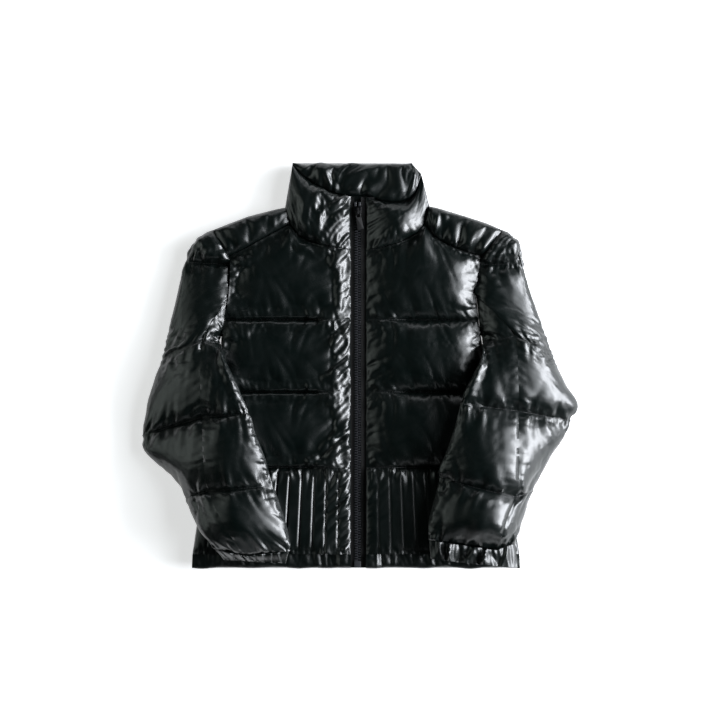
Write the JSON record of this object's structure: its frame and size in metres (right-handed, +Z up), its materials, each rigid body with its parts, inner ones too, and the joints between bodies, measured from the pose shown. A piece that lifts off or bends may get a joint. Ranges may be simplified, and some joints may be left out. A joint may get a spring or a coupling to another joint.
{
  "type": "puffer jacket laid flat",
  "caption": "Cropped quilted puffer jacket with a stand collar and a full zip, laid flat on its back with the sleeves folded down.",
  "frame": {"origin": "middle of the jacket's outline, on the surface that it lies on", "axes": "+X towards the wearer's left sleeve, +Y from the hem to the collar, +Z up through the front"},
  "size_m": [0.717, 0.668, 0.0947],
  "materials": {
    "nylon": "glossy black lacquer over fine plain-woven nylon, padded",
    "binding": "the same nylon gathered over elastic",
    "tape": "matt black woven polyester zip tape",
    "resin": "black moulded polyacetal",
    "enamel": "black enamelled zinc",
    "rubber": "matt black moulded rubber"
  },
  "bodies": {
    "garment": {"back": "nylon", "band_back": "nylon", "hem_back": "binding", "front_right": "nylon", "front_left": "nylon", "yoke_right": "nylon", "yoke_left": "nylon", "band_right": "nylon", "band_left": "nylon", "hem_right": "binding", "hem_left": "binding", "sleeve_right_outer": "nylon", "sleeve_right_inner": "nylon", "sleeve_left_outer": "nylon", "sleeve_left_inner": "nylon", "cuff_right": "binding", "cuff_left": "binding", "collar_right": "nylon", "collar_left": "nylon", "collar_back": "nylon", "tape_right": "tape", "tape_left": "tape", "chain": "resin", "zip_box": "resin", "stop_right": "resin", "stop_left": "resin", "slider": "enamel", "slider_bridge": "enamel"},
    "pull": {"pull_tab": "rubber"}
  },
  "joints": [
    {"name": "pull_tab_hinge", "type": "hinge", "parent": "garment", "child": "pull", "pos_m": [-0.005, 0.255, 0.0312], "axis": [-0.9848, -0.1736, 0], "range_deg": [0, 150]}
  ]
}
